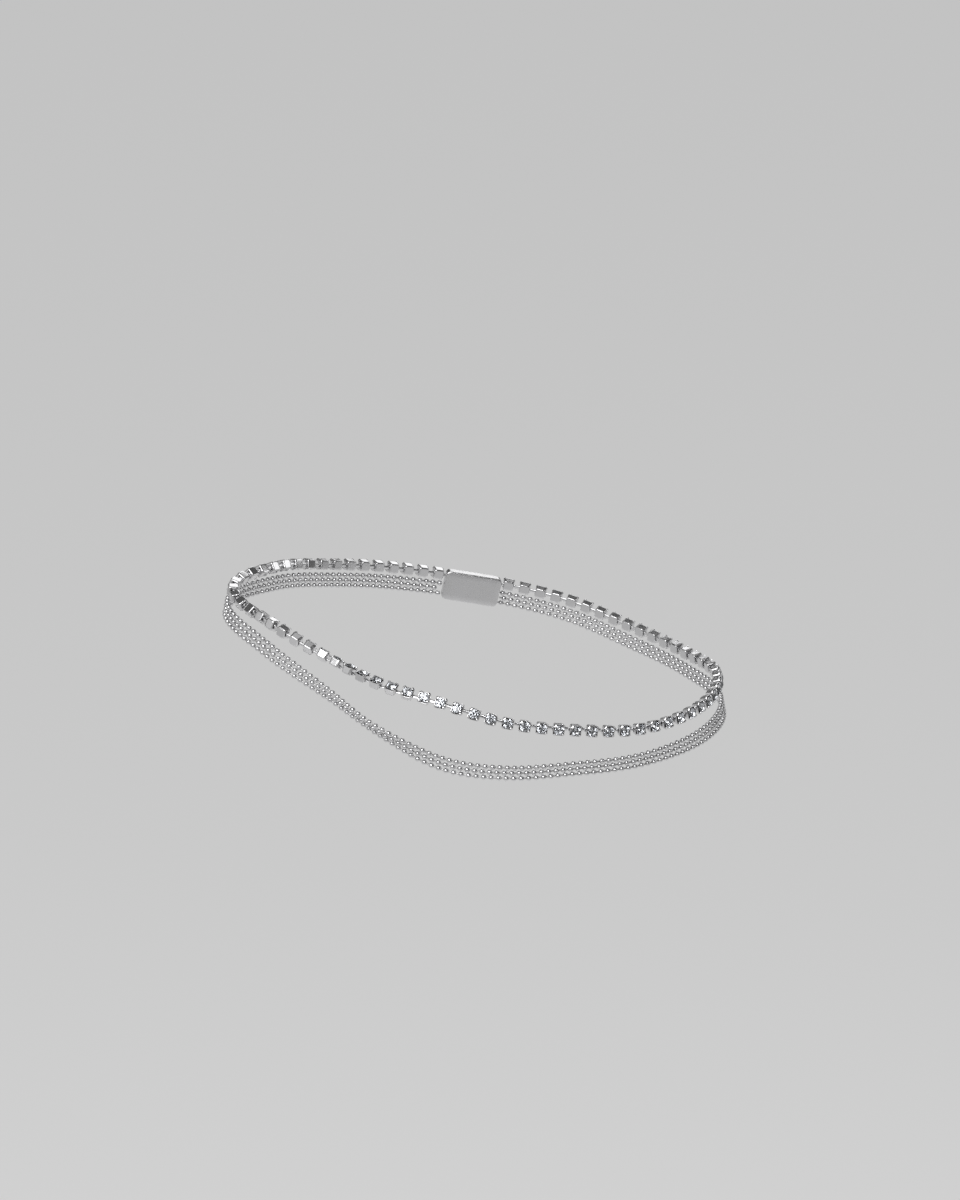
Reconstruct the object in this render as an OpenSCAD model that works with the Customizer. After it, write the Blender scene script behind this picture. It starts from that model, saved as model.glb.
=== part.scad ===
// Anklet: a cup chain of clear round stones above three ball chains, all on one clasp.
// It is held in the form that it has when worn. Millimetres, +Z up along the leg, +X to
// the front of the ankle, and the origin inside the loop, on the leg's own line.

/* [Cup chain] */
// Distance from one cup to the next that the chain aims at; it is trimmed to fit the loop
cup_pitch_aim = 2.98; // [2.9:0.02:3.2]
// Width of a square cup
cup_w = 2.1; // [2.1:0.05:2.25]
// Thickness of a cup's sheet metal
cup_wall = 0.12; // [0.1:0.01:0.14]
// Thickness of a cup's floor
cup_floor = 0.15; // [0.12:0.01:0.2]
// Height of a cup's walls above the line that the connecting strips run on
cup_rim = 0.85; // [0.7:0.05:0.85]
// Side of the square post that stands at each corner and folds over the stone
prong_w = 0.5; // [0.46:0.02:0.54]
// How far a prong's tip reaches in over the stone
prong_reach = 0.1; // [0.04:0.01:0.12]

/* [Connecting strips] */
// Width of a strip
strip_w = 0.55; // [0.45:0.05:0.6]
// Thickness of a strip
strip_t = 0.22; // [0.18:0.01:0.22]
// Width of the head that keeps a strip in its cup
strip_head_w = 1.3; // [1.2:0.05:1.4]
// Length of that head
strip_head_l = 0.3; // [0.2:0.05:0.35]

/* [Stones] */
// Diameter of a stone at its girdle
stone_d = 1.76; // [1.7:0.01:1.76]
// Diameter of the flat table, corner to corner
table_d = 0.98; // [0.92:0.02:1.02]
// Height of the crown, from the girdle up to the table
crown_h = 0.36; // [0.34:0.01:0.38]
// Height of the girdle's plain band
girdle_h = 0.09; // [0.06:0.01:0.09]
// Depth of the pavilion, from the girdle down to the point
pavilion_h = 0.8; // [0.75:0.01:0.8]

/* [Ball chains] */
// Diameter of the plain tube that holds a ball chain's place, a little under its balls'
ball_tube_d = 0.88; // [0.7:0.02:0.88]
// Rings of points along one tube
ball_tube_rings = 64; // [48:1:76]

/* [Clasp] */
// Length of the clasp along the loop
clasp_l = 10.5; // [9:0.5:14]
// Thickness of the clasp, outward from the leg
clasp_t = 1.8; // [1.6:0.1:2.4]
// Radius of the clasp's four corners
clasp_r = 0.9; // [0.5:0.1:1.0]
// How far the clasp reaches past the strands, above and below
clasp_edge = 0.15; // [0.05:0.05:0.3]

/* [Hidden] */

// Room left between pieces that only rest on each other
gap = 0.05;
// Room left between a strand's end and the clasp, where the strand curves away
end_gap = 0.36;
// Room above and below a strip, for its turn and twist from one cup to the next
strip_room = 0.22;
// Room beside a strip in its slot, and between its head and the wall that traps it
slot_room = 0.225;
head_room = 0.23;
// Heights in a cup, from the line that the strips run on
floor_z = -strip_t / 2 - strip_room;
cup_z = floor_z - cup_floor;
culet_z = 0.1;
girdle_z = culet_z + pavilion_h;
crown_z = girdle_z + girdle_h;
table_z = crown_z + crown_h;
// A prong starts above its strip, hooks over the stone's edge and ends below the table
prong_foot_z = strip_t / 2 + strip_room;
hook_z = crown_z + 0.15;
prong_z = hook_z + 0.18;
// The slot in a cup's wall
slot_w = strip_w + 2 * slot_room;
slot_h = strip_t + 2 * strip_room;
// A strip's head starts this far from the middle of its cup
head_far = cup_w / 2 - cup_wall - head_room;

// The loop's route, one row for each 20 degrees round the leg, from the front and on
// over the far side. The near side, from 180 to 360, is the side that shows.
//   reach:  from the leg's line out to the cup chain's strips
//   height: of those strips
//   roll:   how far the cups have turned: 90 faces up, 180 the leg, 270 down, 0 and 360 outward
//   drop:   from the strips down to the middle ball chain
//   bulge:  how much further out the ball chains lie
//   lean:   how far the band of ball chains tips back
//   spread: from one ball chain to the next
AZIMUTH = 0;
REACH = 1;
HEIGHT = 2;
ROLL = 3;
DROP = 4;
BULGE = 5;
LEAN = 6;
SPREAD = 7;
ROUTE = [
    // azimuth, reach, height, roll, drop, bulge, lean, spread
    [0, 43.2, -6.8, 368, 4.8, 1.2, 10, 1.3],
    [20, 40.2, -8.3, 360, 3.6, 0.6, 0, 1.0],
    [40, 36.9, -7.6, 360, 3.2, 0.3, 0, 1.0],
    [60, 34.8, -5.4, 360, 3.0, 0.3, 0, 1.0],
    [80, 32.7, -3.0, 360, 2.9, 0.3, 0, 1.0],
    [100, 31.3, -0.4, 360, 2.9, 0.3, 0, 1.0],
    [120, 31.3, 2.6, 358, 3.0, 0.3, 0, 1.0],
    [140, 33.3, 5.6, 350, 3.1, 0.3, 0, 1.0],
    [160, 37.6, 9.0, 325, 3.5, 0.5, 0, 1.05],
    [180, 42.5, 10.5, 278, 3.7, 1.3, 11, 1.1],
    [200, 37.9, 9.2, 201, 4.6, 0.9, 20, 1.05],
    [220, 32.7, 5.6, 137, 6.3, 0.3, -11, 1.0],
    [240, 32.0, 3.8, 84, 8.7, 0.3, -29, 1.15],
    [260, 31.3, 1.8, 34, 11.4, 0.0, -6, 1.1],
    [280, 31.9, -1.4, 13, 9.6, 0.3, 0, 1.0],
    [300, 34.4, -3.5, 2, 7.5, 0.3, 0, 1.0],
    [320, 38.9, -5.4, 12, 5.9, 0.4, 0, 1.0],
    [340, 42.4, -6.0, 12, 5.1, 1.3, 8, 1.15],
];
route_step = ROUTE[1][AZIMUTH];

// A smooth curve through b and c, with a and d beyond them, at f from 0 to 1
function smooth(a, b, c, d, f) =
    b + (c - a) * f / 2 + (2 * a - 5 * b + 4 * c - d) * f * f / 2
    + (3 * b - a - 3 * c + d) * f * f * f / 2;

// The cup chain is twisted, and its cups turn right over once on the way round the leg
function row_value(i, column) =
    let (lap = floor(i / len(ROUTE)))
    ROUTE[i - lap * len(ROUTE)][column] - (column == ROLL ? 360 * lap : 0);

// What the table holds in one column at any azimuth
function route(azimuth, column) =
    let (u = (azimuth % 360) / route_step, i = floor(u))
    smooth(row_value(i - 1, column), row_value(i, column),
           row_value(i + 1, column), row_value(i + 2, column), u - i);

function round_leg(azimuth, out, up) = [out * cos(azimuth), out * sin(azimuth), up];

// The line of the cup chain's strips, and that of the middle ball chain
CUPS = 0;
BALLS = 1;
function line_point(line, azimuth) = line == CUPS
    ? round_leg(azimuth, route(azimuth, REACH), route(azimuth, HEIGHT))
    : round_leg(azimuth, route(azimuth, REACH) + route(azimuth, BULGE),
                route(azimuth, HEIGHT) - route(azimuth, DROP));

function unit(v) = v / norm(v);
function tangent(line, azimuth) =
    unit(line_point(line, azimuth + 0.5) - line_point(line, azimuth - 0.5));
function outward(t) = unit(cross(t, [0, 0, 1]));
// The way that a piece faces: outward, or tipped up by an angle
function facing(t, tip) = cos(tip) * outward(t) + sin(tip) * cross(outward(t), t);

// Pairs of length from the clasp's middle and azimuth, right round a line
clasp_azimuth = 90;
function measured(line) = [
    for (i = 0, s = 0; i <= 360;
         s = s + norm(line_point(line, clasp_azimuth + i + 1) - line_point(line, clasp_azimuth + i)),
         i = i + 1)
    [s, clasp_azimuth + i]
];
MEASURES = [measured(CUPS), measured(BALLS)];
function line_length(line) = MEASURES[line][360][0];
function azimuth_at(line, s) = lookup(s, MEASURES[line]);

// How far the cup chain's line has curved inward where it meets the clasp's ends
clasp_dip = (line_point(CUPS, clasp_azimuth) - line_point(CUPS, azimuth_at(CUPS, clasp_l / 2)))
            * outward(tangent(CUPS, clasp_azimuth));

// How far along their own line the ball chains reach the clasp's middle
ball_shift = (line_point(CUPS, clasp_azimuth) - line_point(BALLS, clasp_azimuth))
             * tangent(CUPS, clasp_azimuth);

// The cup chain fills the loop from one end of the clasp to the other
chain_start = clasp_l / 2 + end_gap;
chain_run = line_length(CUPS) - 2 * chain_start - cup_w;
cup_count = floor(chain_run / cup_pitch_aim) + 1;
cup_pitch = chain_run / (cup_count - 1);
function cup_azimuth(i) = azimuth_at(CUPS, chain_start + cup_w / 2 + i * cup_pitch);
function cup_point(i) = line_point(CUPS, cup_azimuth(i));
function cup_facing(i) = facing(tangent(CUPS, cup_azimuth(i)), route(cup_azimuth(i), ROLL));

// Draws its children at a point, with x along a direction and z to the way they face
module placed(p, x, z) {
    y = cross(z, x);
    multmatrix([
        [x[0], y[0], z[0], p[0]],
        [x[1], y[1], z[1], p[1]],
        [x[2], y[2], z[2], p[2]],
        [0, 0, 0, 1],
    ]) children();
}

module at_cup(i) {
    placed(cup_point(i), tangent(CUPS, cup_azimuth(i)), cup_facing(i)) children();
}

module prong_posts(inset, low, high) {
    for (x = [-1, 1], y = [-1, 1])
        translate([x * inset, y * inset, (low + high) / 2])
            cube([prong_w, prong_w, high - low], center = true);
}

// One square cup: a floor, four low walls slotted for the strips, and four corner prongs
module cup() {
    seat_w = cup_w - 2 * cup_wall;
    prong_mid = (cup_w - prong_w) / 2;
    difference() {
        union() {
            difference() {
                translate([-cup_w / 2, -cup_w / 2, cup_z])
                    cube([cup_w, cup_w, cup_rim - cup_z]);
                translate([-seat_w / 2, -seat_w / 2, floor_z])
                    cube([seat_w, seat_w, cup_rim - floor_z + 1]);
            }
            prong_posts(prong_mid, prong_foot_z, prong_z);
        }
        translate([0, 0, floor_z])
            cylinder(d = stone_d + 2 * gap, h = hook_z - floor_z, $fn = 48);
        cylinder(d = stone_d - 2 * prong_reach, h = prong_z + 1, $fn = 48);
        translate([-cup_w, -slot_w / 2, floor_z])
            cube([2 * cup_w, slot_w, slot_h]);
    }
}

module stone_cups() {
    color([0.78, 0.78, 0.8])
        for (i = [0:cup_count - 1])
            at_cup(i) cup();
}

// One strip from cup i to the next, with a wide head inside each
module strip(i) {
    a = cup_point(i);
    b = cup_point(i + 1);
    half = norm(b - a) / 2;
    x = unit(b - a);
    middling = unit(cup_facing(i) + cup_facing(i + 1));
    z = unit(middling - (middling * x) * x);
    head_mid = half - head_far + strip_head_l / 2;
    placed((a + b) / 2, x, z) {
        cube([2 * (half - head_far) + strip_head_l, strip_w, strip_t], center = true);
        for (side = [-1, 1])
            translate([side * head_mid, 0, 0])
                cube([strip_head_l, strip_head_w, strip_t], center = true);
    }
}

// The strip that ties an outermost cup to the clasp, from s along the line, just past the clasp
module end_strip(i, s) {
    a = line_point(CUPS, azimuth_at(CUPS, s));
    b = cup_point(i);
    x = unit(b - a);
    z = unit(cup_facing(i) - (cup_facing(i) * x) * x);
    head_mid = norm(b - a) - head_far + strip_head_l / 2;
    placed(a, x, z) {
        translate([0, -strip_w / 2, -strip_t / 2])
            cube([head_mid, strip_w, strip_t]);
        translate([head_mid, 0, 0])
            cube([strip_head_l, strip_head_w, strip_t], center = true);
    }
}

module cup_links() {
    first_s = clasp_l / 2 + 2 * gap;
    color([0.7, 0.7, 0.73]) {
        for (i = [0:cup_count - 2])
            strip(i);
        end_strip(0, first_s);
        end_strip(cup_count - 1, line_length(CUPS) - first_s);
    }
}

// One round stone: an octagonal table, 8 stars, 8 kites, 16 halves, a thin girdle and
// 16 facets down to the point
module stone() {
    kite_slope = crown_h / ((stone_d - table_d) / 2);
    star_r = (stone_d + table_d) / 4;
    star_z = table_z - (star_r * cos(22.5) - table_d / 2) * kite_slope;
    table_ring = [for (k = [0:7]) round_leg(45 * k, table_d / 2, table_z)];
    star_ring = [for (k = [0:7]) round_leg(45 * k + 22.5, star_r, star_z)];
    crown_ring = [for (k = [0:15]) round_leg(22.5 * k, stone_d / 2, crown_z)];
    girdle_ring = [for (k = [0:15]) round_leg(22.5 * k, stone_d / 2, girdle_z)];
    star0 = 8;
    crown0 = 16;
    girdle0 = 32;
    culet = 48;
    polyhedron(
        points = concat(table_ring, star_ring, crown_ring, girdle_ring, [[0, 0, culet_z]]),
        faces = concat(
            [[for (k = [7:-1:0]) k]],
            [for (k = [0:7]) [k, (k + 1) % 8, star0 + k]],
            [for (k = [0:7]) [k, star0 + k, crown0 + 2 * k, star0 + (k + 7) % 8]],
            [for (k = [0:7]) [star0 + k, crown0 + 2 * k + 1, crown0 + 2 * k]],
            [for (k = [0:7]) [star0 + k, crown0 + (2 * k + 2) % 16, crown0 + 2 * k + 1]],
            [for (k = [0:15]) [crown0 + k, crown0 + (k + 1) % 16, girdle0 + (k + 1) % 16, girdle0 + k]],
            [for (k = [0:15]) [girdle0 + k, girdle0 + (k + 1) % 16, culet]]
        )
    );
}

module rhinestones() {
    color([0.9, 0.94, 1.0])
        for (i = [0:cup_count - 1])
            at_cup(i) stone();
}

// One ball chain's place, as a tube: its own height in the band is 1, 0 or -1
module ball_tube(row) {
    sides = 8;
    corner = 360 / sides;
    start = clasp_l / 2 + end_gap + ball_shift;
    run = line_length(BALLS) - clasp_l - 2 * end_gap;
    points = [
        for (i = [0:ball_tube_rings - 1])
        let (
            azimuth = azimuth_at(BALLS, start + i * run / (ball_tube_rings - 1)),
            t = tangent(BALLS, azimuth),
            out = facing(t, route(azimuth, LEAN)),
            up = cross(out, t),
            middle = line_point(BALLS, azimuth) + row * route(azimuth, SPREAD) * up
        )
        for (k = [0:sides - 1])
        middle + ball_tube_d / 2 * (cos(corner * k) * out + sin(corner * k) * up)
    ];
    last = (ball_tube_rings - 1) * sides;
    polyhedron(
        points = points,
        faces = concat(
            [[for (k = [0:sides - 1]) k]],
            [for (i = [0:ball_tube_rings - 2], k = [0:sides - 1])
                let (a = i * sides, b = a + sides, n = (k + 1) % sides)
                [a + k, b + k, b + n, a + n]],
            [[for (k = [sides - 1:-1:0]) last + k]]
        )
    );
}

module ball_chain_upper() {
    color([0.82, 0.82, 0.84]) ball_tube(1);
}

module ball_chain_middle() {
    color([0.76, 0.76, 0.78]) ball_tube(0);
}

module ball_chain_lower() {
    color([0.7, 0.7, 0.72]) ball_tube(-1);
}

// A plain bar with round corners that all the strands end at
module clasp() {
    t = tangent(CUPS, clasp_azimuth);
    out = outward(t);
    top = cup_w / 2 + clasp_edge;
    bottom = route(clasp_azimuth, DROP) + route(clasp_azimuth, SPREAD) + ball_tube_d / 2 + clasp_edge;
    high = top + bottom;
    color([0.72, 0.72, 0.75])
        placed(line_point(CUPS, clasp_azimuth), t, out)
            translate([0, (top - bottom) / 2, -clasp_dip]) {
                cube([clasp_l, high - 2 * clasp_r, clasp_t], center = true);
                cube([clasp_l - 2 * clasp_r, high, clasp_t], center = true);
                for (x = [-1, 1], y = [-1, 1])
                    translate([x * (clasp_l / 2 - clasp_r), y * (high / 2 - clasp_r), 0])
                        cylinder(r = clasp_r, h = clasp_t, center = true, $fn = 48);
            }
}

stone_cups();
cup_links();
rhinestones();
ball_chain_upper();
ball_chain_middle();
ball_chain_lower();
clasp();
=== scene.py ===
import math

import bpy
import numpy as np
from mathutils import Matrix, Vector


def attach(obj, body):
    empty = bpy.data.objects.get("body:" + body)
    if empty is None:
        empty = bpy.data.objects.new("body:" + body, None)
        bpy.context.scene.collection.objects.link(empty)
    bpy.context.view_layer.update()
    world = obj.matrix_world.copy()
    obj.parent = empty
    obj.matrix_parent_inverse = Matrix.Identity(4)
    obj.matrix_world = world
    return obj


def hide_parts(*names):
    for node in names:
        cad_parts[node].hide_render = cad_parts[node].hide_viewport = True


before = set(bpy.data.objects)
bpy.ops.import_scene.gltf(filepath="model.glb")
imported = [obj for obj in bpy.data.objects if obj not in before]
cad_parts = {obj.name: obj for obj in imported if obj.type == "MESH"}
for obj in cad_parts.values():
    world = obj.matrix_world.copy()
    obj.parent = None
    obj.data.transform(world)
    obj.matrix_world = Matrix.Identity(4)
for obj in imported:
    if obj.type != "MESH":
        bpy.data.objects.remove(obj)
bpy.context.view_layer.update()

mm = 0.001
print("frame loaded,", len(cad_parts), "nodes")


# The route that all the strands follow, row for row as in the part's source, in mm and degrees.
# azimuth, reach, height, roll, drop, bulge, lean, spread
routeRows = np.array([
    [0, 43.2, -6.8, 368, 4.8, 1.2, 10, 1.3],
    [20, 40.2, -8.3, 360, 3.6, 0.6, 0, 1.0],
    [40, 36.9, -7.6, 360, 3.2, 0.3, 0, 1.0],
    [60, 34.8, -5.4, 360, 3.0, 0.3, 0, 1.0],
    [80, 32.7, -3.0, 360, 2.9, 0.3, 0, 1.0],
    [100, 31.3, -0.4, 360, 2.9, 0.3, 0, 1.0],
    [120, 31.3, 2.6, 358, 3.0, 0.3, 0, 1.0],
    [140, 33.3, 5.6, 350, 3.1, 0.3, 0, 1.0],
    [160, 37.6, 9.0, 325, 3.5, 0.5, 0, 1.05],
    [180, 42.5, 10.5, 278, 3.7, 1.3, 11, 1.1],
    [200, 37.9, 9.2, 201, 4.6, 0.9, 20, 1.05],
    [220, 32.7, 5.6, 137, 6.3, 0.3, -11, 1.0],
    [240, 32.0, 3.8, 84, 8.7, 0.3, -29, 1.15],
    [260, 31.3, 1.8, 34, 11.4, 0.0, -6, 1.1],
    [280, 31.9, -1.4, 13, 9.6, 0.3, 0, 1.0],
    [300, 34.4, -3.5, 2, 7.5, 0.3, 0, 1.0],
    [320, 38.9, -5.4, 12, 5.9, 0.4, 0, 1.0],
    [340, 42.4, -6.0, 12, 5.1, 1.3, 8, 1.15],
])
columnOf = dict(reach=1, height=2, roll=3, drop=4, bulge=5, lean=6, spread=7)
routeStep = 20  # degrees from one row to the next
claspAzimuth = 90
claspLength = 10.5
endGap = 0.36  # between the clasp and the strands' ends
cupWidth = 2.1
leastPitch = 2.98  # the cups stand this far apart, or a little more to fill the loop


# A column of the route at any azimuth, on a smooth curve through the rows
def routeAt(azimuth, name):
    values = routeRows[:, columnOf[name]]
    perLap = 360 if name == "roll" else 0  # the cups turn right over once on each lap of the leg
    steps = np.asarray(azimuth, float) / routeStep
    row = np.floor(steps).astype(int)
    f = steps - row
    a, b, c, d = (values[(row + k) % len(values)] - perLap * ((row + k) // len(values))
                  for k in (-1, 0, 1, 2))
    return (b + (c - a) * f / 2 + (2 * a - 5 * b + 4 * c - d) * f ** 2 / 2
            + (3 * b - a - 3 * c + d) * f ** 3 / 2)


def linePoint(line, azimuth):
    angle = np.radians(azimuth)
    reach, height = routeAt(azimuth, "reach"), routeAt(azimuth, "height")
    if line == "balls":
        reach, height = reach + routeAt(azimuth, "bulge"), height - routeAt(azimuth, "drop")
    return np.stack([reach * np.cos(angle), reach * np.sin(angle), height], -1)


def unit(v):
    return v / np.linalg.norm(v, axis=-1, keepdims=True)


def tangentAt(line, azimuth):
    return unit(linePoint(line, azimuth + 0.5) - linePoint(line, azimuth - 0.5))


# The way that a piece faces: outward, or tipped up by an angle in degrees
def facingAt(tangent, tip):
    outward = unit(np.cross(tangent, [0.0, 0.0, 1.0]))
    angle = np.radians(np.asarray(tip, float))[..., None]
    return np.cos(angle) * outward + np.sin(angle) * np.cross(outward, tangent)


# Distances along a line, in mm, and the azimuths there, once round from the clasp
def measuredLine(line):
    azimuths = np.arange(claspAzimuth, claspAzimuth + 361.0)
    points = linePoint(line, azimuths)
    steps = np.linalg.norm(np.diff(points, axis=0), axis=1)
    return np.concatenate([[0.0], np.cumsum(steps)]), azimuths


measuredLines = {line: measuredLine(line) for line in ("cups", "balls")}


def azimuthAt(line, s):
    return np.interp(s, *measuredLines[line])


def lineLength(line):
    return measuredLines[line][0][-1]


# Mesh helpers. A prototype is its points in mm and its faces. It may also give the faces' material
# slots, or each point's shade, which is how deep in a hollow it lies, from 0 to 1; the metal turns
# it into painted shade and tarnish

def placedPoints(points, origin, x, z):
    y = np.cross(z, x)
    return origin + points[:, :1] * x + points[:, 1:2] * y + points[:, 2:3] * z


# Joins many copies of one prototype into a piece; pointSets holds each copy's points in mm
def joinedPiece(name, pointSets, faces, faceSlots=None, shade=None, sharpAngle=None):
    pointSets = np.asarray(pointSets)
    copies, count = pointSets.shape[:2]
    sizes = np.array([len(face) for face in faces])
    corners = np.concatenate([np.array(face) for face in faces])
    offsets = np.repeat(np.arange(copies) * count, len(corners))
    mesh = bpy.data.meshes.new(name)
    mesh.vertices.add(copies * count)
    mesh.vertices.foreach_set("co", (pointSets.reshape(-1, 3) * mm).ravel())
    mesh.loops.add(copies * len(corners))
    mesh.loops.foreach_set("vertex_index", (np.tile(corners, copies) + offsets).astype(np.int32))
    allSizes = np.tile(sizes, copies)
    mesh.polygons.add(len(allSizes))
    starts = np.concatenate([[0], np.cumsum(allSizes)[:-1]]).astype(np.int32)
    mesh.polygons.foreach_set("loop_start", starts)
    if faceSlots is not None:
        mesh.polygons.foreach_set("material_index", np.tile(faceSlots, copies).astype(np.int32))
    smooth = sharpAngle is not None
    mesh.polygons.foreach_set("use_smooth", np.full(len(allSizes), smooth))
    mesh.update(calc_edges=True)
    if smooth:
        mesh.set_sharp_from_angle(angle=math.radians(sharpAngle))
    # the hollow attribute carries the painted shade and tarnish that the metal shows
    if shade is not None:
        mesh.attributes.new("hollow", "FLOAT", "POINT").data.foreach_set(
            "value", np.tile(shade, copies).astype(np.float32))
    piece = bpy.data.objects.new(name, mesh)
    bpy.context.scene.collection.objects.link(piece)
    triangles = int((allSizes - 2).sum())
    print(name, "has", copies, "copies,", triangles, "triangles")
    return piece


# Runs modifiers on a small mesh and gives back its points and faces
def modelled(name, points, faces, modifiers):
    mesh = bpy.data.meshes.new(name)
    mesh.from_pydata([tuple(p) for p in points], [], faces)
    work = bpy.data.objects.new(name, mesh)
    bpy.context.scene.collection.objects.link(work)
    for kind, settings in modifiers:
        modifier = work.modifiers.new(kind.lower(), kind)
        for key, value in settings.items():
            setattr(modifier, key, value)
    done = work.evaluated_get(bpy.context.evaluated_depsgraph_get()).to_mesh()
    newPoints = np.array([v.co[:] for v in done.vertices])
    newFaces = [tuple(p.vertices) for p in done.polygons]
    work.to_mesh_clear()
    bpy.data.objects.remove(work)
    bpy.data.meshes.remove(mesh)
    return newPoints, newFaces


# A closed skin over rings of equal length, with its two ends capped
def loftFaces(rings, sides):
    faces = [tuple(range(sides - 1, -1, -1))]
    for i in range(rings - 1):
        low, high = i * sides, (i + 1) * sides
        for k in range(sides):
            n = (k + 1) % sides
            faces.append((low + k, low + n, high + n, high + k))
    faces.append(tuple(range((rings - 1) * sides, rings * sides)))
    return faces


def shifted(faces, by):
    return [tuple(v + by for v in face) for face in faces]


def finishedPiece(piece, node, materials):
    for material in materials:
        piece.data.materials.append(material)
    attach(piece, "root")
    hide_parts(node)


# A node tree's output that takes part in sums: an expression on values adds its Math nodes
class Wire:
    def __init__(self, graph, socket):
        self.graph = graph
        self.socket = socket

    def math(self, operation, first, second):
        return self.graph.node("ShaderNodeMath", {"operation": operation}, {0: first, 1: second})

    def __add__(self, other):
        return self.math("ADD", self, other)

    def __radd__(self, other):
        return self.math("ADD", other, self)

    def __mul__(self, other):
        return self.math("MULTIPLY", self, other)

    def __rmul__(self, other):
        return self.math("MULTIPLY", other, self)


class Graph:
    def __init__(self, tree):
        self.tree = tree
        tree.nodes.clear()

    # Adds a node: its settings first, then its sockets' values or links
    def node(self, kind, settings=None, inputs=None, output=0):
        node = self.tree.nodes.new(kind)
        for key, value in (settings or {}).items():
            setattr(node, key, value)
        for key, value in (inputs or {}).items():
            if isinstance(value, Wire):
                self.tree.links.new(value.socket, node.inputs[key])
            else:
                node.inputs[key].default_value = value
        return Wire(self, node.outputs[output]) if len(node.outputs) else node

    def mixedColour(self, amount, first, second):
        return self.node("ShaderNodeMix", {"data_type": "RGBA"},
                         {0: amount, 6: first, 7: second}, output=2)


def newMaterial(name, viewColour):
    material = bpy.data.materials.new(name)
    material.use_nodes = True
    material.diffuse_color = (*viewColour, 1)
    return material, Graph(material.node_tree)


markReach = 0.02  # mm, how deep a polishing mark would be at full strength


# Bright plating: clean on top, a little duller and darker in the hollows, where painted shade and
# tarnish darken it, with fine polishing marks
def platedMetal(name, look):
    material, graph = newMaterial(name, look["clean"])
    place = graph.node("ShaderNodeTexCoord", output="Object")
    cloud = graph.node("ShaderNodeTexNoise", None,
                       {"Vector": place, "Scale": 1 / (look["cloudSize"] * mm), "Detail": 3.0})
    marks = graph.node("ShaderNodeTexNoise", None,
                       {"Vector": place, "Scale": 1 / (look["markSize"] * mm), "Detail": 2.0})
    hollow = graph.node("ShaderNodeAttribute", {"attribute_name": "hollow"}, output="Fac")
    # painted shade and tarnish in the hollows, plus tarnish at random in clouds, darken the metal
    # towards its dull colour
    shadeAndTarnish = graph.node("ShaderNodeClamp", None,
                         {0: hollow * look["hollowShadeAndTarnish"] + cloud * look["cloudTarnish"]})
    colour = graph.mixedColour(shadeAndTarnish, (*look["clean"], 1), (*look["dullAndShaded"], 1))
    rough = look["rough"] + cloud * look["roughCloud"] + hollow * look["roughHollow"]
    bump = graph.node("ShaderNodeBump", None, {"Strength": look["markDepth"],
                                               "Distance": markReach * mm, "Height": marks})
    shader = graph.node("ShaderNodeBsdfPrincipled", None,
                        {"Base Color": colour, "Metallic": 1.0, "Roughness": rough,
                         "Normal": bump})
    graph.node("ShaderNodeOutputMaterial", None, {"Surface": shader})
    return material


cupSilver = platedMetal("polished_cup_plating", {
    "clean": (0.7, 0.7, 0.71),
    "dullAndShaded": (0.36, 0.35, 0.34),
    "cloudSize": 1.6,
    "markSize": 0.09,
    "hollowShadeAndTarnish": 0.55,
    "cloudTarnish": 0.12,
    "rough": 0.15,
    "roughCloud": 0.08,
    "roughHollow": 0.2,
    "markDepth": 0.12,
})
ballSilver = platedMetal("polished_ball_plating", {
    "clean": (0.65, 0.65, 0.66),
    "dullAndShaded": (0.24, 0.23, 0.22),
    "cloudSize": 1.1,
    "markSize": 0.06,
    "hollowShadeAndTarnish": 0.8,
    "cloudTarnish": 0.08,
    "rough": 0.2,
    "roughCloud": 0.05,
    "roughHollow": 0.25,
    "markDepth": 0.08,
})
claspSilver = platedMetal("satin_clasp_plating", {
    "clean": (0.66, 0.66, 0.67),
    "dullAndShaded": (0.44, 0.43, 0.42),
    "cloudSize": 2.4,
    "markSize": 0.12,
    "hollowShadeAndTarnish": 0.5,
    "cloudTarnish": 0.3,
    "rough": 0.2,
    "roughCloud": 0.14,
    "roughHollow": 0.2,
    "markDepth": 0.2,
})


def clearCrystal():
    look = {"tint": (0.97, 0.98, 1.0), "ior": 1.57, "smudgeSize": 0.8, "smudge": 0.03}
    material, graph = newMaterial("clear_cut_crystal", look["tint"])
    place = graph.node("ShaderNodeTexCoord", output="Object")
    smudge = graph.node("ShaderNodeTexNoise", None,
                        {"Vector": place, "Scale": 1 / (look["smudgeSize"] * mm), "Detail": 2.0})
    shader = graph.node("ShaderNodeBsdfPrincipled", None,
                        {"Base Color": (*look["tint"], 1), "Roughness": smudge * look["smudge"],
                         "IOR": look["ior"], "Transmission Weight": 1.0})
    graph.node("ShaderNodeOutputMaterial", None, {"Surface": shader})
    return material


def stoneFoil():
    look = {"bright": (0.9, 0.91, 0.92), "grey": (0.62, 0.63, 0.65), "patch": 0.5, "rough": 0.06}
    material, graph = newMaterial("mirror_foil", look["bright"])
    place = graph.node("ShaderNodeTexCoord", output="Object")
    patch = graph.node("ShaderNodeTexNoise", None,
                       {"Vector": place, "Scale": 1 / (look["patch"] * mm), "Detail": 1.0})
    colour = graph.mixedColour(patch, (*look["bright"], 1), (*look["grey"], 1))
    shader = graph.node("ShaderNodeBsdfPrincipled", None,
                        {"Base Color": colour, "Metallic": 1.0, "Roughness": look["rough"]})
    graph.node("ShaderNodeOutputMaterial", None, {"Surface": shader})
    return material


print("materials made")


# The ball chains: hollow round balls on short wires, in three rows side by side

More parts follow.
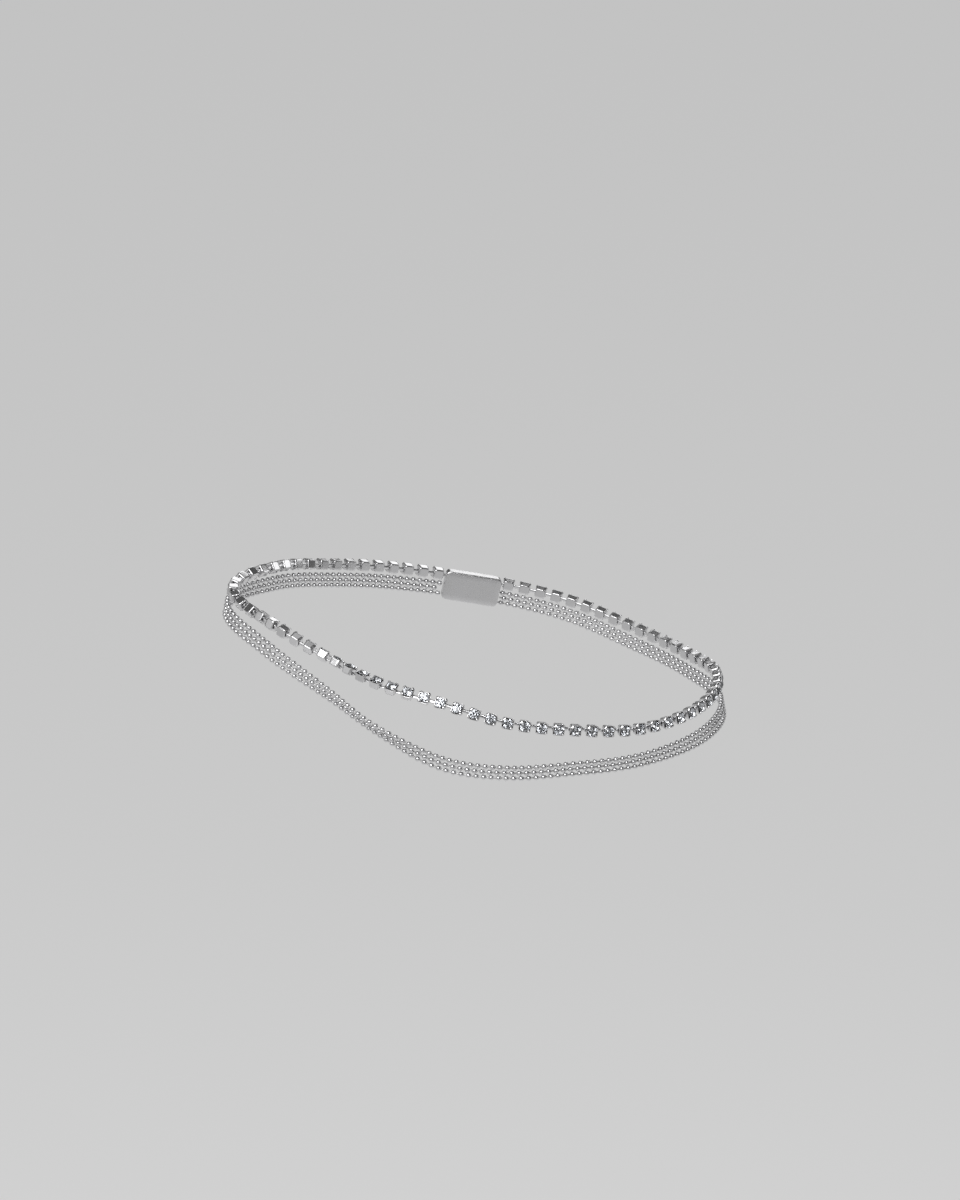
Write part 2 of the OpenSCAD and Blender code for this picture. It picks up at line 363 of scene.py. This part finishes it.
ballChain = {
    "ballSize": 0.95,
    "pitch": 1.295,
    "sides": 22,
    "rings": 11,
    "holeAngle": 21,  # degrees from the pole to the hole's edge
    "lipDepth": 0.06,
    "lipWidth": 0.93,  # of the hole's, at the lip's inner edge
    "wireSize": 0.32,
    "wireWaist": 0.92,  # of the wire's size, at its middle
    "wireSides": 8,
    "wireInBall": 0.12,  # how far a wire reaches into each ball
    # painted shade and tarnish: how deep in a hollow each of these lies
    "lipShade": 1.0,
    "holeShade": 0.35,
    "wireShade": 0.4,
    "sharpAngle": 48,  # degrees: sharper edges are shaded as edges, here and in the other pieces
    "endMargin": 0.2,  # no ball's middle lies nearer to its chain's end
    # a row's place in the band, and how far its first ball is along its line
    "rows": {"ball_chain_upper": (1, 0.2), "ball_chain_middle": (0, 1.02),
             "ball_chain_lower": (-1, 0.08)},
}


def ballPrototype(look):
    radius = look["ballSize"] / 2
    angles = np.radians(np.linspace(look["holeAngle"], 180 - look["holeAngle"], look["rings"]))
    profile = [(-radius * math.cos(a), radius * math.sin(a)) for a in angles]
    holeX, holeR = profile[0]
    lipX, lipR = holeX + look["lipDepth"], holeR * look["lipWidth"]
    profile = [(lipX, lipR)] + profile + [(-lipX, lipR)]
    turn = np.radians(np.arange(look["sides"]) * 360 / look["sides"])
    points = [(x, r * math.cos(t), r * math.sin(t)) for x, r in profile for t in turn]
    # painted shade and tarnish at the holes' lips and edges
    ends = [look["lipShade"], look["holeShade"]]
    shade = np.repeat(ends + [0.0] * (look["rings"] - 2) + ends[::-1], look["sides"])
    return np.array(points), loftFaces(len(profile), look["sides"]), shade


def wirePrototype(look):
    half = (look["pitch"] - look["ballSize"]) / 2 + look["wireInBall"]
    turn = np.radians(np.arange(look["wireSides"]) * 360 / look["wireSides"])
    size = look["wireSize"] / 2
    rings = [(-half, size), (0, size * look["wireWaist"]), (half, size)]
    points = [(x, r * math.cos(t), r * math.sin(t)) for x, r in rings for t in turn]
    # painted shade and tarnish on the wires between the balls
    shade = np.full(len(points), look["wireShade"])
    return np.array(points), loftFaces(len(rings), look["wireSides"]), shade


def makeBallChain(name, row, first):
    look = ballChain
    claspPoint, claspTangent = linePoint("cups", claspAzimuth), tangentAt("cups", claspAzimuth)
    shift = float((claspPoint - linePoint("balls", claspAzimuth)) @ claspTangent)
    start = claspLength / 2 + endGap + shift
    end = start + lineLength("balls") - claspLength - 2 * endGap
    places = np.arange(first, lineLength("balls"), look["pitch"])
    margin = look["endMargin"]
    places = places[(places > start + margin) & (places < end - margin)]

    def rowPoint(s):
        azimuth = azimuthAt("balls", s)
        tangent = tangentAt("balls", azimuth)
        out = facingAt(tangent, routeAt(azimuth, "lean"))
        across = np.cross(out, tangent)
        spread = routeAt(azimuth, "spread")[..., None]
        return linePoint("balls", azimuth) + row * spread * across, out

    ball, ballFaces, ballShade = ballPrototype(look)
    wire, wireFaces, wireShade = wirePrototype(look)
    link = np.concatenate([ball, wire + [look["pitch"] / 2, 0, 0]])
    faces = ballFaces + shifted(wireFaces, len(ball))
    centres, outs = rowPoint(places)
    beyond = np.append(places[1:], places[-1] + look["pitch"])
    nexts = rowPoint(beyond)[0]
    sets = []
    for centre, nextCentre, out in zip(centres, nexts, outs):
        x = unit(nextCentre - centre)
        z = unit(out - (out @ x) * x)
        sets.append(placedPoints(link, centre, x, z))
    piece = joinedPiece(name, sets, faces, shade=np.concatenate([ballShade, wireShade]),
                        sharpAngle=look["sharpAngle"])
    finishedPiece(piece, name, [ballSilver])


for nodeName, (row, first) in ballChain["rows"].items():
    makeBallChain(nodeName, row, first)
print("ball chains made")


# The cup chain: where each cup stands, which way it faces, and its parts

chainStart = claspLength / 2 + endGap
chainRun = lineLength("cups") - 2 * chainStart - cupWidth
cupCount = int(chainRun // leastPitch) + 1
cupPitch = chainRun / (cupCount - 1)
cupAzimuths = azimuthAt("cups", chainStart + cupWidth / 2 + cupPitch * np.arange(cupCount))
cupPoints = linePoint("cups", cupAzimuths)
cupTangents = tangentAt("cups", cupAzimuths)
cupFacings = facingAt(cupTangents, routeAt(cupAzimuths, "roll"))
print("cups", cupCount, "pitch", round(float(cupPitch), 4))

cupShape = {
    "cornerRadius": 0.34,
    "cornerSteps": 4,
    "cornerShare": 0.45,  # the most of a side's half that its corner takes
    "slotHalf": 0.42,
    "slotShare": 0.85,  # the most of a side's flat part that the slot takes
    "sheet": 0.12,
    "edgeWidth": 0.028,  # of the rounding along the sheet's edges
    "edgeAngle": 50,  # degrees: sharper edges of the sheet are rounded
    # half-width and height of the wall's outer side, from the floor up
    "levels": [(0.6, -0.505), (0.76, -0.5), (0.85, -0.455), (0.9, -0.36), (0.915, -0.23),
               (0.97, 0.23), (1.03, 0.68), (1.045, 0.78)],
    "slotLevel": 4,  # the slot runs from this level to the next
    "cornerRise": 0.11,
    "riseSpread": 1.6,  # more spreads the corners' rise further along the sides
    # a prong's middle line from inside the corner to its tip, with half-width and half-thickness
    "prong": [(1.235, 0.6, 0.2, 0.045), (1.245, 0.77, 0.22, 0.06), (1.215, 0.9, 0.23, 0.095),
              (1.155, 0.995, 0.24, 0.125), (1.065, 1.075, 0.245, 0.14), (0.965, 1.125, 0.23, 0.13),
              (0.87, 1.145, 0.17, 0.1), (0.79, 1.14, 0.09, 0.05)],
    "prongCurve": 0.5,  # radius of the curve across a prong
    "prongSquareness": 0.75,  # 1 makes a prong oval across, less makes it squarer
    "prongSides": 10,
    # the cup's inside is further in than this from its outer side, and above this height
    "insideDepth": 0.07,
    "insideFloor": -0.45,
    # painted shade and tarnish inside the cup and at each prong's root
    "insideShade": 0.9,
    "prongRootShade": 0.3,
    "sharpAngle": 38,
}


# Once round a rounded square, with a point on each side where the strips' slot begins and ends
def cupRing(half, height, look):
    radius = min(look["cornerRadius"], half * look["cornerShare"])
    flat = half - radius
    slot = min(look["slotHalf"], flat * look["slotShare"])
    points = []
    for quarter in range(4):
        side = [(half, y) for y in (-slot, 0.0, slot, flat)]
        arc = []
        for step in range(1, look["cornerSteps"] + 1):
            a = math.radians(90 * step / look["cornerSteps"])
            arc.append((flat + radius * math.cos(a), flat + radius * math.sin(a)))
        c, s = math.cos(math.radians(90 * quarter)), math.sin(math.radians(90 * quarter))
        for x, y in side + arc:
            corner = max(0.0, min(abs(x), abs(y)) - slot) / (half - slot)
            points.append((x * c - y * s, x * s + y * c, height, corner))
    return points


def cupPrototype(look):
    points, faces = [], []
    levels = look["levels"]
    for i, (half, height) in enumerate(levels):
        lift = look["cornerRise"] if i == len(levels) - 1 else 0.0
        for x, y, z, corner in cupRing(half, height, look):
            points.append((x, y, z + lift * min(1.0, look["riseSpread"] * corner)))
    around = len(points) // len(levels)
    faces.append(tuple(range(around - 1, -1, -1)))
    perSide = around // 4
    for i in range(len(levels) - 1):
        low, high = i * around, (i + 1) * around
        for k in range(around):
            inSlot = k % perSide < 2 and (k // perSide) % 2 == 0
            if i == look["slotLevel"] and inSlot:
                continue
            n = (k + 1) % around
            faces.append((low + k, low + n, high + n, high + k))
    sheetPoints, sheetFaces = modelled("cup_sheet", points, faces, [
        ("SOLIDIFY", {"thickness": look["sheet"], "offset": -1.0, "use_even_offset": True}),
        ("BEVEL", {"width": look["edgeWidth"], "segments": 2, "limit_method": "ANGLE",
                   "angle_limit": math.radians(look["edgeAngle"])}),
    ])
    half = np.abs(sheetPoints[:, :2]).max(axis=1)
    outer = np.interp(sheetPoints[:, 2], [z for _, z in levels], [h for h, _ in levels])
    inside = (half < outer - look["insideDepth"]) & (sheetPoints[:, 2] > look["insideFloor"])
    # painted shade and tarnish over the cup's inside
    shade = np.where(inside, look["insideShade"], 0.0)

    # a tongue of sheet that folds over the stone from each corner
    path = np.array(look["prong"])
    along = unit(np.gradient(path[:, :2], axis=0))
    sides, squareness = look["prongSides"], look["prongSquareness"]
    turn = np.radians(np.arange(sides) * 360 / sides)
    allPoints, allFaces, allShade = [sheetPoints], list(sheetFaces), [shade]
    total = len(sheetPoints)
    for quarter in range(4):
        angle = math.radians(45 + 90 * quarter)
        outward = np.array([math.cos(angle), math.sin(angle), 0])
        across = np.array([-math.sin(angle), math.cos(angle), 0])
        ringPoints = []
        for (r, z, wide, thick), (dr, dz) in zip(path, along):
            middle = r * outward + np.array([0, 0, z])
            normal = np.array([0, 0, dr]) - dz * outward
            for t in turn:
                u = math.copysign(abs(math.cos(t)) ** squareness, math.cos(t))
                v = math.copysign(abs(math.sin(t)) ** squareness, math.sin(t))
                sag = (wide * u) ** 2 / (2 * look["prongCurve"])
                ringPoints.append(middle + wide * u * across + (thick * v - sag) * normal)
        allPoints.append(np.array(ringPoints))
        allFaces += shifted(loftFaces(len(path), sides), total)
        # painted shade and tarnish at the prong's root
        allShade.append(np.repeat([look["prongRootShade"]] + [0.0] * (len(path) - 1), sides))
        total += len(ringPoints)
    return np.concatenate(allPoints), allFaces, np.concatenate(allShade)


def makeCups():
    look = cupShape
    points, faces, shade = cupPrototype(look)
    sets = [placedPoints(points, p, x, z) for p, x, z in zip(cupPoints, cupTangents, cupFacings)]
    piece = joinedPiece("stone_cups", sets, faces, shade=shade, sharpAngle=look["sharpAngle"])
    finishedPiece(piece, "stone_cups", [cupSilver])


makeCups()
print("cups made")


# The strips that join the cups, each with a wide head at both ends

stripShape = {
    # across the strip, from edge to edge, and how far its skin stands above and below its middle
    "section": [(-1.0, 0.02), (-0.9, 0.06), (-0.6, 0.105), (-0.2, 0.128),
                (0.2, 0.128), (0.6, 0.105), (0.9, 0.06), (1.0, 0.02)],
    "halfWidth": 0.33,
    "waist": 0.97,  # of the half-width, along the strip's middle
    "waistReach": 0.4,  # how far along its neck the waist runs each way
    "headHalfWidth": 0.63,
    "headLength": 0.28,
    "headHeight": 0.85,  # heights are shares of the section's
    "tipStart": 0.8,  # the share of the head before its rounded tip
    "tipWidth": 0.86,
    "tipHeight": 0.45,
    "headFar": 0.7,  # from the middle of a cup to the nearer edge of the head in it
    "flare": 0.14,  # over which a strip widens into its head
    # the plain end of a strip at the clasp
    "taper": 0.12,
    "taperWidth": 0.8,
    "taperHeight": 0.6,
    "claspGap": 0.1,  # between the clasp and the strip's end
    "sharpAngle": 40,
}


# A strip as a loft along x, domed on both faces, that widens into its heads. It reaches from -far
# to far between two heads, and from 0 to far where its start is a plain end
def stripPrototype(look, far, headAtStart):
    narrow, wide, length = look["halfWidth"], look["headHalfWidth"], look["headLength"]
    neck, waist = far - look["flare"], narrow * look["waist"]
    end = [(neck, narrow, 1.0), (far, wide, look["headHeight"]),
           (far + length * look["tipStart"], wide, look["headHeight"]),
           (far + length, wide * look["tipWidth"], look["tipHeight"])]
    if headAtStart:
        start = [(-x, w, h) for x, w, h in reversed(end)]
        middle = [(-look["waistReach"] * neck, waist, 1.0), (look["waistReach"] * neck, waist, 1.0)]
    else:
        start = [(0.0, narrow * look["taperWidth"], look["taperHeight"]),
                 (look["taper"], narrow, 1.0)]
        middle = [(neck / 2, waist, 1.0)]
    section = look["section"]
    points = []
    for x, width, height in start + middle + end:
        points += [(x, width * y, height * z) for y, z in reversed(section)]
        points += [(x, width * y, -height * z) for y, z in section]
    rings = len(start) + len(middle) + len(end)
    return np.array(points), loftFaces(rings, 2 * len(section))


def makeLinks():
    look = stripShape
    nominal = cupPitch / 2 - look["headFar"]
    points, faces = stripPrototype(look, nominal, True)
    side = np.sign(points[:, 0]) * (np.abs(points[:, 0]) > nominal / 2)
    sets = []
    for i in range(cupCount - 1):
        a, b = cupPoints[i], cupPoints[i + 1]
        half = np.linalg.norm(b - a) / 2 - look["headFar"]
        x = unit(b - a)
        middling = cupFacings[i] + cupFacings[i + 1]
        z = unit(middling - (middling @ x) * x)
        local = points.copy()
        local[:, 0] += side * (half - nominal)
        sets.append(placedPoints(local, (a + b) / 2, x, z))
    piece = joinedPiece("cup_links", sets, faces, shade=np.zeros(len(points)),
                        sharpAngle=look["sharpAngle"])

    # the two strips that end at the clasp
    ends = []
    atClasp = claspLength / 2 + look["claspGap"]
    for i, s in ((0, atClasp), (cupCount - 1, lineLength("cups") - atClasp)):
        a, b = linePoint("cups", azimuthAt("cups", s)), cupPoints[i]
        x = unit(b - a)
        z = unit(cupFacings[i] - (cupFacings[i] @ x) * x)
        endPoints, endFaces = stripPrototype(look, np.linalg.norm(b - a) - look["headFar"], False)
        ends.append(placedPoints(endPoints, a, x, z))
    endPiece = joinedPiece("end_links", ends, endFaces, shade=np.zeros(len(endPoints)),
                           sharpAngle=look["sharpAngle"])
    finishedPiece(piece, "cup_links", [cupSilver])
    endPiece.data.materials.append(cupSilver)
    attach(endPiece, "root")


makeLinks()
print("links made")


# The stones: round, with a flat table, a faceted crown and a foil-backed point

stoneShape = {
    "girdle": 1.76,
    "table": 0.98,
    "crownHeight": 0.36,
    "girdleHeight": 0.09,
    "pointDepth": 0.8,
    "point": 0.1,  # its height above the cup chain's line
    "lowerRing": 0.38,  # where the long lower facets are widest
    # each stone was set at its own turn: in degrees, the next one's step and where it starts over
    "turnStep": 37,
    "turnLap": 45,
}


def stonePrototype(look):
    girdle, table = look["girdle"] / 2, look["table"] / 2
    girdleZ = look["point"] + look["pointDepth"]
    crownZ = girdleZ + look["girdleHeight"]
    tableZ = crownZ + look["crownHeight"]
    halfFacet = 22.5  # degrees, half the angle between two of eight facets
    inward = math.cos(math.radians(halfFacet))
    star, lower = (girdle + table) / 2, look["lowerRing"]
    starZ = tableZ - (star * inward - table) * look["crownHeight"] / (girdle - table)
    lowerZ = look["point"] + look["pointDepth"] * lower * inward / girdle

    def ring(count, turned, radius, z):
        angles = np.radians(np.arange(count) * 360 / count + turned)
        return [(radius * math.cos(a), radius * math.sin(a), z) for a in angles]

    points = (ring(8, 0, table, tableZ) + ring(8, halfFacet, star, starZ)
              + ring(16, 0, girdle, crownZ) + ring(16, 0, girdle, girdleZ)
              + ring(8, halfFacet, lower, lowerZ) + [(0, 0, look["point"])])
    starAt, crownAt, girdleAt, lowerAt, pointAt = 8, 16, 32, 48, 56  # each ring's first point
    crown = [tuple(range(8))]
    foil = []
    for k in range(8):
        before, after = (k + 7) % 8, (k + 1) % 8
        crown.append((k, starAt + k, after))
        crown.append((k, starAt + before, crownAt + 2 * k, starAt + k))
        crown.append((starAt + k, crownAt + 2 * k, crownAt + 2 * k + 1))
        crown.append((starAt + k, crownAt + 2 * k + 1, crownAt + (2 * k + 2) % 16))
        foil.append((girdleAt + 2 * k, lowerAt + before, pointAt, lowerAt + k))
        foil.append((girdleAt + 2 * k, lowerAt + k, girdleAt + 2 * k + 1))
        foil.append((girdleAt + 2 * k + 1, lowerAt + k, girdleAt + (2 * k + 2) % 16))
    for k in range(16):
        n = (k + 1) % 16
        crown.append((crownAt + k, girdleAt + k, girdleAt + n, crownAt + n))
    return np.array(points), crown + foil, [0] * len(crown) + [1] * len(foil)


def makeStones():
    look = stoneShape
    points, faces, slots = stonePrototype(look)
    sets = []
    for i in range(cupCount):
        turned = math.radians((i * look["turnStep"]) % look["turnLap"])
        c, s = math.cos(turned), math.sin(turned)
        local = points @ np.array([[c, s, 0], [-s, c, 0], [0, 0, 1]])
        sets.append(placedPoints(local, cupPoints[i], cupTangents[i], cupFacings[i]))
    piece = joinedPiece("rhinestones", sets, faces, faceSlots=slots)
    finishedPiece(piece, "rhinestones", [clearCrystal(), stoneFoil()])


makeStones()
print("stones made")


# The clasp: a plain bar with soft edges and a slightly crowned face

claspShape = {
    "thickness": 1.8,
    "cornerRadius": 0.9,
    "edgeRadius": 0.28,
    "over": 0.15,  # how far it reaches past the strands
    "tube": 0.88,  # a ball chain's thickness in the part's source
    "crown": 0.12,
    # rings over the face: how far each lies from the edge, and what share of the crown it lacks
    "faceRings": [(1.0, 0.45), (1.9, 0.1)],
    "backInset": 1.2,
    "leastCorner": 0.12,
    "cornerSteps": 8,
    "sharpAngle": 35,
}


def makeClasp():
    look = claspShape
    point, tangent = linePoint("cups", claspAzimuth), tangentAt("cups", claspAzimuth)
    out = facingAt(tangent, 0.0)
    nearEnd = linePoint("cups", azimuthAt("cups", claspLength / 2))
    dip = float((point - nearEnd) @ out)
    top = cupWidth / 2 + look["over"]
    bottom = (float(routeAt(claspAzimuth, "drop") + routeAt(claspAzimuth, "spread"))
              + look["tube"] / 2 + look["over"])
    length, high, thick = claspLength / 2, (top + bottom) / 2, look["thickness"] / 2
    corner, edge = look["cornerRadius"], look["edgeRadius"]
    # rings from the back, round the edge, over the crowned face
    rings = [(look["backInset"], -thick)]
    for degrees in range(-90, 91, 30):
        a = math.radians(degrees)
        z = (thick - edge) * np.sign(degrees) + edge * math.sin(a)
        rings.append((edge * (1 - math.cos(a)), z - (look["crown"] if z > 0 else 0)))
    rings += [(inset, thick - look["crown"] * lack) for inset, lack in look["faceRings"]]
    points = []
    steps = look["cornerSteps"]
    for inset, z in rings:
        radius = max(corner - inset, look["leastCorner"])
        for quarter, (sx, sy) in enumerate(((1, 1), (-1, 1), (-1, -1), (1, -1))):
            for step in range(steps + 1):
                a = math.radians(90 * quarter + 90 * step / steps)
                x = sx * (length - inset - radius) + radius * math.cos(a)
                y = sy * (high - inset - radius) + radius * math.sin(a)
                points.append((x, y, z))
    middle = point + (top - bottom) / 2 * np.cross(out, tangent) - dip * out
    placed = placedPoints(np.array(points), middle, tangent, out)
    faces = loftFaces(len(rings), 4 * (steps + 1))
    piece = joinedPiece("clasp", [placed], faces, shade=np.zeros(len(points)),
                        sharpAngle=look["sharpAngle"])
    finishedPiece(piece, "clasp", [claspSilver])


makeClasp()
print("clasp made")


# The studio: a plain pale floor, soft boxes and a dim room for the metal to reflect

studio = {
    "floorHeight": -1.0,
    "floorHalf": 40.0,
    "floorColour": (0.8, 0.8, 0.8),
    "floorRough": 0.9,
    "roomGrey": 0.1,  # what the metal reflects where no light stands
    "skyGrey": 0.66,  # what lights the floor evenly from all round
    # where each soft box stands, its size in metres and its power in watts; all face the anklet
    "lights": {
        "key": ((-0.4, -0.55, 0.85), (0.85, 0.75), 8.5),
        "left": ((-0.9, -0.3, 0.3), (0.8, 0.7), 1.1),
        "front": ((-0.15, -1.25, 0.62), (0.55, 0.45), 2.4),
        "top": ((-0.05, 0.25, 1.0), (0.9, 0.6), 0.8),
        "glint": ((0.32, -0.75, 0.65), (0.1, 0.1), 0.6),
        "back": ((0.25, 1.3, 0.5), (0.8, 0.6), 2.2),
        "right": ((1.1, 0.25, 0.45), (0.6, 0.5), 1.4),
        "farLeft": ((-0.95, 0.75, 0.5), (0.6, 0.5), 0.8),
    },
    "cameraRise": 24,  # degrees above level, seen from 1 m away
    "lens": 168.54,
    # the middle of the picture, in mm to the right of the frame's origin and up from it
    "aim": (1.246, 7.3),
}


def makeFloor():
    half, z = studio["floorHalf"], studio["floorHeight"]
    mesh = bpy.data.meshes.new("floor")
    mesh.from_pydata([(-half, -half, z), (half, -half, z), (half, half, z), (-half, half, z)],
                     [], [(0, 1, 2, 3)])
    floor = bpy.data.objects.new("floor", mesh)
    bpy.context.scene.collection.objects.link(floor)
    material, graph = newMaterial("pale_floor", studio["floorColour"])
    shader = graph.node("ShaderNodeBsdfPrincipled", None,
                        {"Base Color": (*studio["floorColour"], 1),
                         "Roughness": studio["floorRough"], "Specular IOR Level": 0.0})
    graph.node("ShaderNodeOutputMaterial", None, {"Surface": shader})
    mesh.materials.append(material)


def softBox(name, place, size, power):
    light = bpy.data.lights.new(name, "AREA")
    light.shape = "RECTANGLE"
    light.size, light.size_y = size
    light.energy = power
    lamp = bpy.data.objects.new(name, light)
    lamp.location = place
    lamp.rotation_euler = (-Vector(place)).to_track_quat("-Z", "Y").to_euler()
    bpy.context.scene.collection.objects.link(lamp)


def makeRoom():
    world = bpy.data.worlds.new("room")
    bpy.context.scene.world = world
    world.use_nodes = True
    graph = Graph(world.node_tree)
    seen = graph.node("ShaderNodeLightPath", output="Is Camera Ray")
    lighting = graph.node("ShaderNodeLightPath", output="Is Diffuse Ray")
    # beyond the floor all is as grey as the floor, so that its edge doesn't show
    beyond = studio["skyGrey"] * studio["floorColour"][0]
    grey = (studio["roomGrey"] + seen * (beyond - studio["roomGrey"])
            + lighting * (studio["skyGrey"] - studio["roomGrey"]))
    room = graph.node("ShaderNodeBackground", None, {"Color": (1, 1, 1, 1), "Strength": grey})
    graph.node("ShaderNodeOutputWorld", None, {"Surface": room})


makeFloor()
makeRoom()
for lightName, (place, size, power) in studio["lights"].items():
    softBox(lightName, place, size, power)

camera = bpy.data.cameras.new("camera")
camera.lens = studio["lens"]
camera.sensor_width = 36.0
camera.clip_start = 0.01
camera.clip_end = 120.0
viewer = bpy.data.objects.new("camera", camera)
bpy.context.scene.collection.objects.link(viewer)
rise = math.radians(studio["cameraRise"])
viewer.location = (0, -math.cos(rise), math.sin(rise))
right, up = studio["aim"]
aim = Vector((right * mm, up * mm * math.sin(rise), up * mm * math.cos(rise)))
viewer.rotation_euler = (aim - viewer.location).to_track_quat("-Z", "Y").to_euler()
bpy.context.scene.camera = viewer
bpy.context.scene.view_settings.view_transform = "Standard"
print("studio and camera set")
